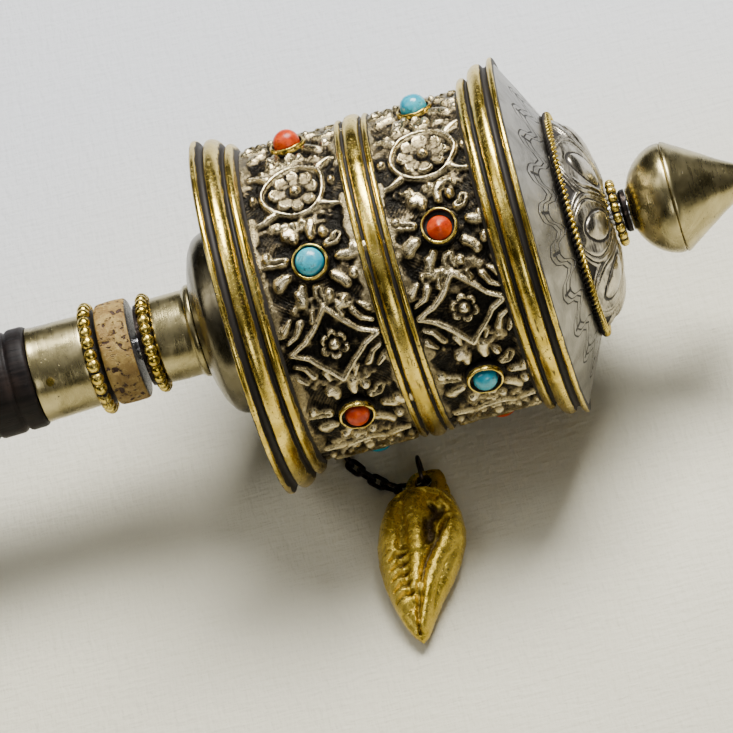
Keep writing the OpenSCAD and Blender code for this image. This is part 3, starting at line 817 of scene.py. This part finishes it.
def set_stone(row, k):
    """One cup with its stone. Size, tilt and setting differ a little from cup to cup."""
    luck = np.random.default_rng(60 + row * 10 + k)
    x, angle = stone_rows[row], first_stone + k * stone_step
    blue = (k + row) % 2 == 0
    chipped = row == 1 and k == 0
    small = chipped or luck.random() < 0.3
    proud = k == 1
    radius = 2.4 if proud else 2.2 if small else luck.uniform(2.58, 2.68)
    aside = (-0.38, -0.05) if chipped else luck.normal(0, 0.03, 2)
    top = 31.05 if chipped else 31.7 if proud else luck.uniform(31.15, 31.5)
    rim = 29.3 if proud else 30.16
    a = np.linspace(0, tau, 56, endpoint=False)[None, :]
    t = np.linspace(0, 1, 22)[1:, None]
    fall = 1 - t ** 1.25 if chipped else np.sqrt(np.clip(1 - t ** 2.2, 0, 1))
    r = np.concatenate((radius * t, np.full((3, 1), radius)))
    out = np.concatenate((29.5 + (top - 29.5) * fall, [[29.2], [28.8], [28.3]]))
    points = on_wall(x, angle, r * np.cos(a) + aside[0], r * np.sin(a) + aside[1], out)
    uneven = grain(points, 1.9 * mm, 61) + 0.4 * grain(points, 0.8 * mm, 62)
    amount = 0.14 if chipped else 0.05
    points = points * (1 + amount / 30 * uneven[..., None] * (0, 1, 1))
    kind = "turquoise" if blue else "coral"
    stone = sheet_mesh(f"{kind}_{row + 1}_{k + 1}", points, turquoise if blue else coral,
                       round_rows=False)
    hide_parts(kind + "_stones")
    cup_r = np.array([2.74, 2.74, 2.78, 2.9, 3.1, 3.22, 3.27, 3.3, 3.36])[:, None]
    cup_h = rim - np.array([1.7, 0.55, 0.14, 0, 0, 0.14, 0.55, 1.2, 2.0])[:, None]
    lip = 0.10 * np.sin(a + k) + 0.05 * np.sin(3 * a + row) + 0.05 * np.cos(7 * a + k)
    cup_h = cup_h + lip * (cup_h > rim - 1)
    ring = on_wall(x, angle, cup_r * np.cos(a), cup_r * np.sin(a), cup_h)
    low = np.clip((rim - 0.6 - cup_h) / 0.9, 0, 1) + (cup_r < 2.8)
    cup = sheet_mesh(f"bezel_{row + 1}_{k + 1}", ring, brass, hollow=np.clip(low, 0, 1))
    bed_r = np.linspace(0, 2.76, 8)[1:, None]
    bed = on_wall(x, angle, bed_r * np.cos(a), bed_r * np.sin(a), rim - 1.1 + 0 * bed_r)
    bed = np.concatenate((bed, on_wall(x, angle, 2.76 * np.cos(a), 2.76 * np.sin(a), 28.2)))
    seat = sheet_mesh(f"cement_{row + 1}_{k + 1}", bed, cement, round_rows=False)
    for piece in (cup, seat):
        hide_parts("stone_bezels")
    for piece in (stone, cup, seat):
        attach(piece, "drum")


for row in range(2):
    for k in range(6):
        set_stone(row, k)


# ---- Lid: engraved plate and lotus -----------------------------------------------------
# A cone of thin white metal closes the drum. Fine stepped leaves are engraved round it.
# On it sits a pressed lotus of eight petals inside a ring of twisted brass wire.
leaves = 22
plate_step = tau / leaves


def engraved_paint(w):
    cloud = w.noise(0.006, detail=4, warp=0.6)
    fine = w.noise(0.0006, detail=4, rough=0.7)
    petal, fold = w.mark("petal"), w.mark("fold")
    line = petal.math("PINGPONG", 0.75).step(0.24, 0.12) * petal.step(-0.3, -0.2) \
        * petal.step(3.4, 3.3)
    spoke = fold.step(0.10, 0.05) * petal.step(0.7, 0.8) * petal.step(3.4, 3.3)
    cut = line.math("MAXIMUM", spoke) * fine.step(0.24, 0.38)
    silver = cloud.step(0.3, 0.7).mix((0.16, 0.15, 0.125, 1), (0.34, 0.32, 0.275, 1))
    dirt = cut.math("MAXIMUM", fine.step(0.68, 0.75) * 0.7)
    return {"Base Color": dirt.mix(silver, (0.014, 0.012, 0.010, 1)),
            "Metallic": 1 - dirt * 0.7,
            "Roughness": cloud * 0.2 + fine * 0.15 + dirt * 0.3 + 0.14,
            "Normal": w.bump(fine * 0.3 + cloud * 2 - cut, 0.0002, 0.8)}


def plate_shape(x, angle, radius):
    """Marks: petal is the distance inside the outermost line in mm, and fold runs from 0 on
    the middle of a leaf to 1 between two leaves."""
    r = radius / mm
    fold = abs((angle / plate_step) % 1 - 0.5) * 2
    leaf = 28.0 - 2.6 * fold ** 1.3 - 1.5 * np.clip((fold - 0.5) * 7, 0, 1)
    spots = spun(x, angle, radius)
    petal = leaf - r + 0.16 * grain(spots, 1.8 * mm, 71)
    dents = grain(spots, 5 * mm, 72) * 0.06 * mm
    return radius + dents * (r < 31), {"petal": petal, "fold": np.broadcast_to(fold, petal.shape)}


near, far = span("top_plate")
plate_outline = [(far - 0.8, 3.3), (far - 0.8, 20.2), (near, 32.2), (near + 0.8, 32.2),
                 (far, 20.2), (far, 3.3)]
plate = turned("lid_plate", plate_outline, material("engraved_silver", engraved_paint),
               sides=leaves * 18, step=0.45, shape=plate_shape)
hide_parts("top_plate")
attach(plate, "drum")


def lotus_heights(along, angle, r):
    """Embossing of a petalled dome: two outlines round every petal and a boss inside."""
    petals = 8
    half = math.pi / petals
    side = abs((angle / (2 * half) + 0.5) % 1 - 0.5) * 2 * half * r
    full = half * r
    edge = full * np.clip(np.sin(np.clip(along / 0.5, 0, 1) * math.pi / 2) ** 0.8, 0, 1)
    inside = edge - side
    outer = np.exp(-((inside - 0.42) / 0.42) ** 2)
    inner = np.exp(-((inside - 1.5) / 0.42) ** 2) * 0.8
    width = 0.46 * full * (0.75 + 0.5 * np.clip((along - 0.3) / 0.5, 0, 1))
    egg = (side / width) ** 2 + ((along - 0.58) / 0.29) ** 2
    boss = np.sqrt(np.clip(1 - egg, 0, 1)) * 1.45
    behind = 0.75 * np.exp(-((inside + 0.75) / 0.42) ** 2)
    plain = 0.45 * (inside > 1.6) * np.clip((egg - 1.0) / 0.35, 0, 1)
    return np.max(np.broadcast_arrays(outer, inner * (egg > 1), boss, behind, plain), axis=0)


lotus_x = span("lotus_dome")[0]
lift = np.linspace(0, math.radians(82), 92)[:, None]
lotus_angle = np.linspace(0, tau, 400, endpoint=False)[None, :]
dome_r, dome_x = 4.6 + 14.4 * np.cos(lift), lotus_x + 6.9 * np.sin(lift)
chased = lotus_heights(lift / lift[-1], lotus_angle, dome_r)
spots = spun(dome_x * mm, lotus_angle, dome_r * mm)
chased = chased + 0.07 * grain(spots, 0.8 * mm, 73) + 0.06 * grain(spots, 3 * mm, 74)
raise_by = 0.62 * chased * np.clip(lift * 12, 0, 1)
dome = spun((dome_x + raise_by * np.sin(lift)) * mm, lotus_angle,
            (dome_r + raise_by * np.cos(lift)) * mm)
under = [spun(np.array([[x]]) * mm, lotus_angle, r * mm)
         for x, r in ((lotus_x + 6.4, 4.2), (lotus_x + 3.5, 14), (lotus_x, 18.3))]
lotus = sheet_mesh("lotus", np.concatenate([dome] + under),
                   aged_silver, hollow=np.clip(1.04 - 1.3 * np.concatenate(
                       (chased, np.zeros((3, 400)))), 0, 1))
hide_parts("lotus_dome")
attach(lotus, "drum")

for strand in range(2):
    t = np.linspace(0, tau, 960, endpoint=False)[:, None]
    s = np.linspace(0, tau, 10, endpoint=False)[None, :]
    twist = 62 * t + strand * math.pi
    across = 0.40 * np.cos(twist) + 0.44 * np.cos(s)
    over = 0.40 * np.sin(twist) + 0.44 * np.sin(s)
    wire_r = 20.1 + across
    wire = sheet_mesh(f"rope_strand_{strand + 1}",
                      spun((lotus_x + 0.82 + over) * mm, t, wire_r * mm), brass,
                      hollow=np.clip(0.55 - 0.75 * (over + 0.3 * across), 0, 1))
    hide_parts("lotus_rope_ring")
    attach(wire, "drum")


# ---- Finial ----------------------------------------------------------------------------
# The knob is screwed on the end of the spindle: a spun bowl and a rolled cone of white
# metal, soldered at the ridge and dented by use.
near, seam = span("finial_bowl")
tip_x = span("finial_cone")[1]
bowl_arc = [(near + (seam - near) * (1 - math.sin(math.radians(a))),
             10.2 * math.cos(math.radians(a))) for a in range(72, -1, -6)]
bowl_arc = [(x, r - 0.12 * max(0, x - seam + 1.2)) for x, r in bowl_arc]
bowl_outline = [(near + 0.35, 3.9)] + bowl_arc + [(seam, 9.2), (near + 5, 8.2), (near + 1.5, 3.9)]
cone_outline = [(seam, 9.2), (seam, 10.02), (seam + 0.25, 10.2), (seam + 0.7, 10.05),
                (tip_x - 8, 5.05), (tip_x - 0.9, 0.95), (tip_x - 0.25, 0.55), (tip_x, 0),
                (tip_x - 3, 0), (seam + 0.7, 9.1)]


def knob_shape(x, angle, radius):
    spots = spun(x, angle, radius)
    dents = grain(spots, 5.5 * mm, 81) * 0.13 + grain(spots, 1.6 * mm, 82) * 0.03
    return radius + dents * mm * np.clip(radius / (6 * mm), 0, 1), {}


for name, node, outline in (("knob_bowl", "finial_bowl", bowl_outline),
                            ("knob_cone", "finial_cone", cone_outline)):
    piece = turned(name, outline, silvered, sides=200, step=0.4, shape=knob_shape)
    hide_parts(node)
    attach(piece, "handle")


# ---- Shell weight ----------------------------------------------------------------------
# A flat conch, cast solid in yellow metal and left grainy. A thin lug with a round hole
# hangs it from the jump ring; it lies face up at the end of the chain.
def weight_paint(w):
    cast = w.noise(0.0007, detail=4, rough=0.7)
    cloud = w.noise(0.005, detail=4)
    # Fine specks painted light gold: painted glints of the grainy casting.
    painted_glint = w.noise(0.00028, detail=1).step(0.66, 0.74)
    low = w.mark("hollow") + (cast - 0.5) * 0.35
    gold = cloud.step(0.3, 0.7).mix((0.44, 0.31, 0.032, 1), (0.66, 0.485, 0.075, 1))
    olive = low.step(0.15, 0.8).mix(gold, (0.13, 0.09, 0.016, 1))
    brown = low.step(0.78, 1.1).mix(olive, (0.05, 0.03, 0.013, 1))
    return {"Base Color": (painted_glint * 0.4).mix(brown, (0.90, 0.75, 0.30, 1)),
            "Metallic": 0.96 - low.step(0.7, 1.1) * 0.2,
            "Roughness": cast * 0.25 + 0.16 - painted_glint * 0.08,
            "Normal": w.bump(cast + painted_glint * 0.2, 0.00017, 1.0)}


ring_low, ring_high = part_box("jump_ring")
hole = Vector(((ring_low[0] + ring_high[0]) / 2, ring_low[1] + 0.35 * mm,
               (ring_low[2] + ring_high[2]) / 2))
cast_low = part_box("conch_weight")[0]
heading = math.radians(-100.5)
down = np.array((math.cos(heading), math.sin(heading), 0))
over_to = np.array((-math.sin(heading), math.cos(heading), 0))


def outline_at(length, stations):
    table = np.array(stations)
    return np.interp(length, table[:, 0], table[:, 1])


left_edge = [(2.4, 0.4), (2.7, 3.6), (3.7, 5.3), (6.2, 7.0), (10, 8.0), (13.6, 8.3), (17.7, 7.9),
             (21.8, 6.9), (26.2, 5.2), (30, 3.3), (32.4, 1.6), (33.6, 0.15)]
right_edge = [(2.4, 0.4), (2.8, 4.0), (4.2, 5.7), (7.5, 7.1), (11.2, 7.9), (13.8, 7.9), (18, 7.0),
              (21.8, 5.6), (25.4, 3.8), (29.5, 2.2), (32.4, 1.2), (33.6, 0.15)]
s = np.linspace(0, 1, 190)
length = (2.4 + 31.2 * (s - 0.03 * np.sin(tau * s)))[:, None]
round_by = np.linspace(0, tau, 180, endpoint=False)[None, :]
side = np.cos(round_by)
half = np.where(side < 0, outline_at(length, left_edge), outline_at(length, right_edge))
cross = half * np.sign(side) * abs(side) ** 0.8
up_side = np.clip(np.sin(round_by), 0, 1)


def form(*line, width, tip=None, warp=0.35):
    """A soft swelling along a line; its edges wander a little, as in a worn mould."""
    spots = np.stack(np.broadcast_arrays(length, cross, 0 * cross), axis=-1)
    a, b = (grain(spots, 2.6, 95 + k) * warp * 0.6 for k in (0, 1))
    return ridge(length + a, cross + b, line, width, tip) ** 1.5


swell = [1.5 * form((4.9, -1.4), (7.2, -1.0), (10, -0.8), (12.7, -0.5), (16.5, -0.3), width=2.4,
                    tip=1.5),
         1.3 * form((6.4, -4.9), (9.4, -5.4), (13, -5.8), (17, -5.6), (22, -4.4), (27, -2.9),
                    width=2.3, tip=1.6),
         1.5 * form((11.2, 6.6), (13, 6.0), (15.8, 5.0), (18.8, 3.7), (22.1, 2.4), (26.2, 1.5),
                    (31.5, 0.5), width=1.7, tip=0.9),
         0.9 * form((16.2, -0.3), (20, -0.4), (24, -0.6), width=1.2),
         1.0 * form((9.4, 6.2), (11.6, 4.3), (13.3, 3.4), width=0.9, tip=0.6),
         0.8 * form((11.8, 3.1), (12.6, 2.9), width=0.7),
         1.0 * form((6.2, 4.3), (8.2, 5.9), (10.5, 6.9), (13.4, 7.2), width=1.0, tip=0.8),
         1.35 * form((5.6, -5.9), (4.3, -4.2), (3.5, -1.4), (3.6, 1.2), (4.5, 3.9), (6.6, 6.1),
                     (9, 7.0), width=0.62, tip=0.45, warp=0.12)]
swell += [0.8 * form(spot, (spot[0] + 0.3, spot[1]), width=0.65)
          for spot in ((27.3, -2.3), (28.9, -1.3), (26.4, -1.1), (30.2, -0.7))]
sunk = [1.3 * form((7.4, 1.6), (9.2, 2.5), (11.4, 2.2), (14.4, 2.0), width=0.7, tip=1.2, warp=1.6),
        1.2 * form((8.6, 3.6), (9.8, 3.4), width=1.0, warp=0.6),
        1.25 * form((10.4, 5.6), (13.3, 4.1), (16.6, 2.3), (19.9, 1.0), (23, 0.4), width=0.6,
                    tip=0.35, warp=0.15),
        0.9 * form((23.5, 0.0), (28.1, -0.4), (32.4, -0.3), width=0.4, warp=0.15),
        0.6 * form((7, -3.1), (10.3, -3.2), (15.4, -3.2), width=0.8, tip=1.3, warp=0.7)]
for k in range(5):
    at, over = 17.4 + 2.0 * k, 0.3 * k
    sunk.append(1.3 * form((at + 1.1, over - 5.4), (at + 0.2, over - 3.8), width=0.3, tip=0.75,
                           warp=0.12))
    sunk.append(1.3 * form((at + 0.2, over - 3.8), (at - 0.4, 0.8 * over - 2.0), width=0.75,
                           tip=0.2, warp=0.12))
swell, sunk = np.max(swell, axis=0), np.max(sunk, axis=0)
belly = 3.7 * np.sin(np.clip((length - 1.6) / 32.8, 0, 1) ** 0.6 * math.pi) ** 0.6
height = belly * np.sign(np.sin(round_by)) * abs(np.sin(round_by)) ** 0.8
height = height + (0.75 * swell - 0.80 * sunk) * up_side ** 0.5
middle = 3.3 + 0.7 * np.clip(1 - length / 14, 0, 1) ** 2 - 1.7 * np.clip(length / 33.6, 0, 1) ** 3
body = (np.array(hole) * (1, 1, 0) + (length[..., None] * down + cross[..., None] * over_to) * mm)
rough_cast = grain(np.concatenate((body[..., :2], height[..., None] * mm), axis=-1), 0.7 * mm, 91)
height = middle + height + 0.07 * rough_cast
body[..., 2] = cast_low[2] + np.maximum(height - height.min(), 0.12) * mm
old_gold = material("old_gold", weight_paint)
weight = sheet_mesh("shell_weight", body, old_gold, round_rows=False,
                    hollow=np.clip((0.85 * sunk - 0.35 * swell) * up_side ** 0.4, 0, 1.2))

lug_edge = [(-2.3, -1.4), (-2.45, 0.6), (-2.5, 3.0), (-1.6, 3.6), (0.6, 4.2), (3.4, 5.0),
            (4.8, 5.0), (5.2, 0), (4.6, -4.9), (3.2, -4.6), (0.8, -3.3), (-1.2, -2.7)]
around = np.linspace(0, tau, 96, endpoint=False)
table = np.array(sorted((math.atan2(c, l) % tau, math.hypot(c, l)) for l, c in lug_edge))
reach = np.interp(around, table[:, 0], table[:, 1], period=tau)[None, :]
t = np.array([0, 0, 0.06, 0.9, 1, 1, 0.9, 0.06])[:, None]
lug_z = np.array([0.5, -0.5, -0.62, -0.62, -0.35, 0.35, 0.62, 0.62])[:, None] + 0 * reach
hole_r = 1.48
lug_l = (hole_r + (reach - hole_r) * t) * np.cos(around)
lug_c = (hole_r + (reach - hole_r) * t) * np.sin(around)
lug = np.array(hole) + (lug_l[..., None] * down + lug_c[..., None] * over_to) * mm
lug[..., 2] += (lug_z + 0.08 * grain(lug, 0.8 * mm, 92)) * mm
lug = sheet_mesh("weight_lug", lug, old_gold, hollow=np.where(t < 0.05, 0.8, 0.15) + 0 * reach)
for piece in (weight, lug):
    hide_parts("conch_weight")
    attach(piece, "conch")


# ---- Parts inside the drum -------------------------------------------------------------
# The roll of paper is wound on a copper tube and wrapped in yellow cloth. The tube clears
# the spindle, and the brass bushes at its two ends carry the drum.
def plain_paint(dark, light, size, depth, stretch=(1, 1, 1), shine=0.5):
    def paint(w):
        cloud = w.noise(size * 6, detail=3)
        fine = w.noise(size, detail=3, stretch=stretch)
        return {"Base Color": (cloud * 0.5 + fine * 0.5).step(0.35, 0.65).mix(dark, light),
                "Roughness": fine * 0.2 + shine,
                "Normal": w.bump(fine, depth, 0.6)}
    return paint


refinish(material("copper_tube", plain_paint((0.42, 0.17, 0.09, 1), (0.68, 0.33, 0.2, 1), 0.0008,
                                             0.00003, (0.1, 1, 1), 0.2), Metallic=1.0),
         "centre_tube")
refinish(material("scroll_paper", plain_paint((0.62, 0.52, 0.33, 1), (0.78, 0.69, 0.49, 1), 0.0005,
                                              0.00008, (1, 0.1, 0.1), 0.75)), "mantra_scroll")
refinish(material("wrap_cloth", plain_paint((0.50, 0.30, 0.035, 1), (0.72, 0.48, 0.08, 1), 0.0004,
                                            0.00012, (1, 1, 1), 0.8)), "scroll_cloth")
